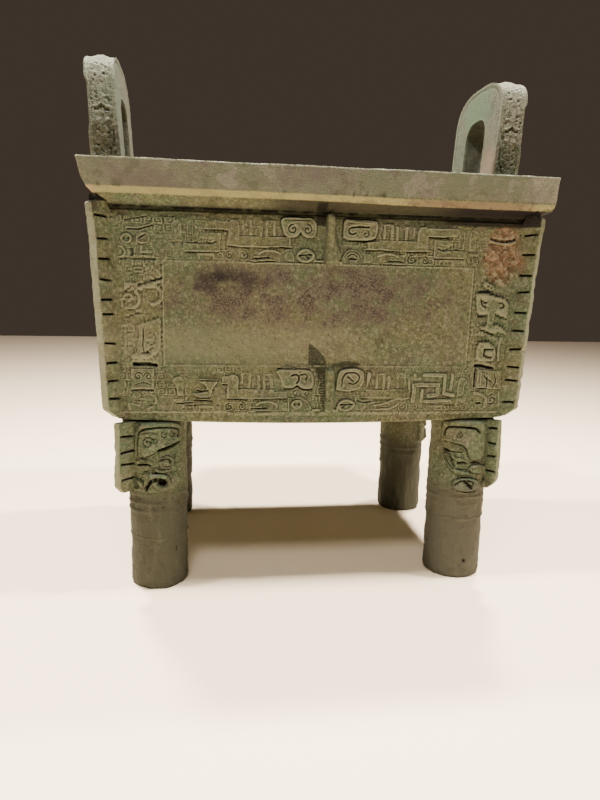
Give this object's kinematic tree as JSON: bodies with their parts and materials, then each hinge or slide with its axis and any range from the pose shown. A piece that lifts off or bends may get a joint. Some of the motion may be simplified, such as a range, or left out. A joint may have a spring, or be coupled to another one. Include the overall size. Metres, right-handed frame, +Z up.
{
  "type": "rectangular bronze ding vessel",
  "caption": "Large rectangular bronze ding: a deep open belly with a wide rim, four round legs with beast masks, slotted corner fins and two arched ears on the short sides.",
  "frame": {"origin": "on the floor, under the middle of the vessel", "axes": "+Z up, +X along the long side toward the right ear, the front faces -Y"},
  "size_m": [1.1414, 0.794, 1.33],
  "materials": {
    "vessel_bronze": "cast bronze under a matte grey-green and olive patina, browner on the legs, with red-brown corrosion near one corner",
    "ear_bronze": "cast bronze under a pale grey-green patina, pitted on the edge faces"
  },
  "bodies": {
    "root": {"vessel": "vessel_bronze", "left_ear": "ear_bronze", "right_ear": "ear_bronze"}
  },
  "joints": []
}
